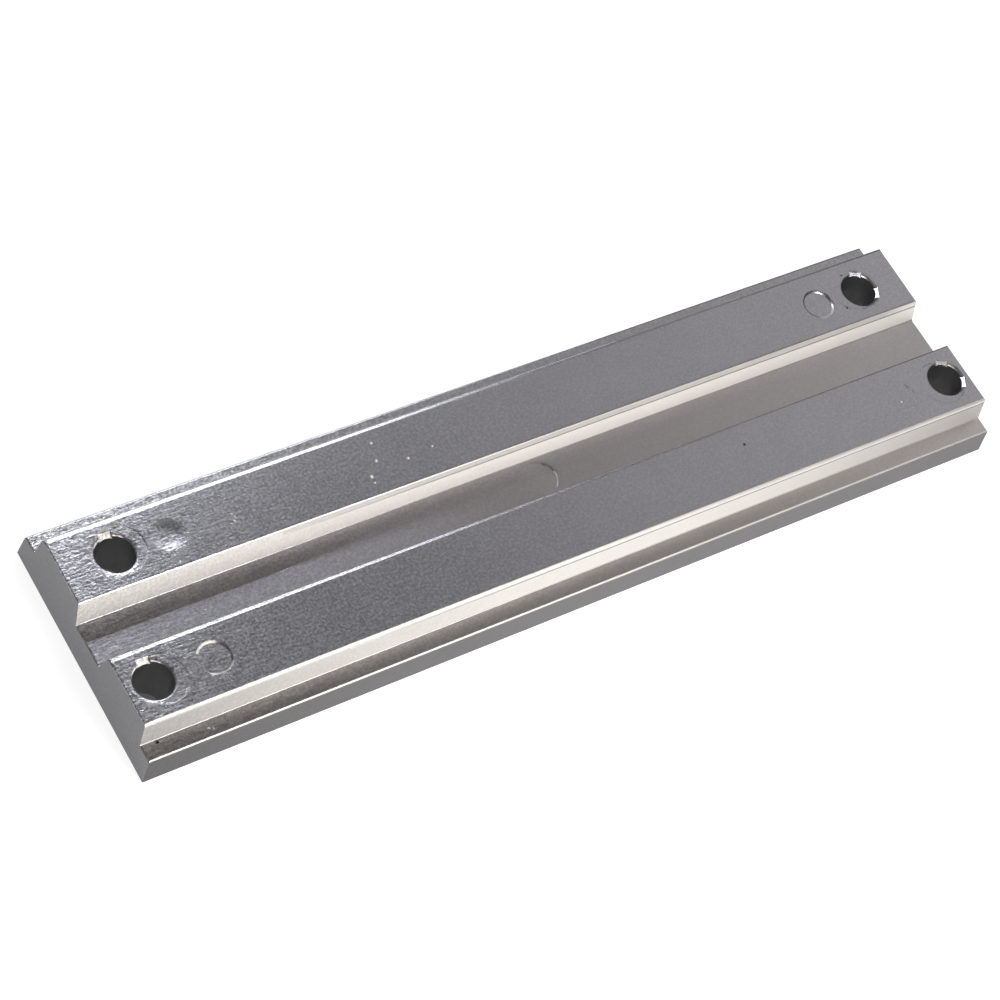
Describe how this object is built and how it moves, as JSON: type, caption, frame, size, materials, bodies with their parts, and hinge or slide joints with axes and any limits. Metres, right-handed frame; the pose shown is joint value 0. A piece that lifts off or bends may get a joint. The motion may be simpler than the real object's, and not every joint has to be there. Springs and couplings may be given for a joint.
{
  "type": "sacrificial anode",
  "caption": "Flat cast bar anode with a flange step along each side, raised lands divided by a channel, and bolt holes near its ends.",
  "frame": {"origin": "centre of the flat back's outline, with the back on Z = 0", "axes": "+X along the bar, +Y across it towards the row whose holes lie closer together, +Z out of the flat back towards the lands"},
  "size_m": [0.21, 0.054, 0.013],
  "materials": {
    "cast_metal": "as cast, satin, with fine grain and flow streaks"
  },
  "bodies": {
    "root": {"anode_bar": "cast_metal"}
  },
  "joints": []
}
